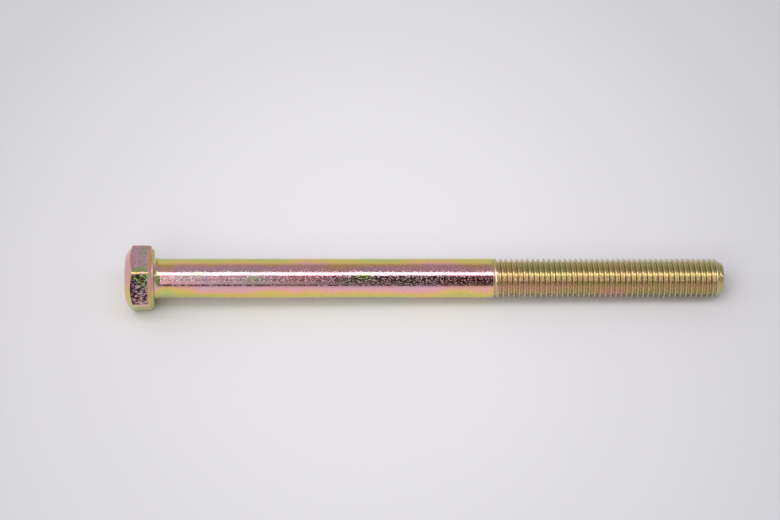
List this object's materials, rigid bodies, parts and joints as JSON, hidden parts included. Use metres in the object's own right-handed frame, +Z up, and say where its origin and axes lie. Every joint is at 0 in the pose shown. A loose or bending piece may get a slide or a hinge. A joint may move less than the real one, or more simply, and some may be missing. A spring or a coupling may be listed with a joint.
{
  "type": "hex head screw",
  "caption": "Long hexagon head screw with a plain round shank, a fine right-hand thread at its end and a yellow zinc finish, lying on its side.",
  "frame": {"origin": "bottom centre of the bounding box of the screw lying at rest on a flat of its head and the end of its thread", "axes": "+X along the screw from the head to the point, tipped down 1.1 degrees as it rests; +Z up"},
  "size_m": [0.1664, 0.0196, 0.0171],
  "materials": {
    "yellow_zinc_steel": "semi-bright yellow iridescent zinc plating"
  },
  "bodies": {
    "root": {"hex_head_screw": "yellow_zinc_steel"}
  },
  "joints": []
}
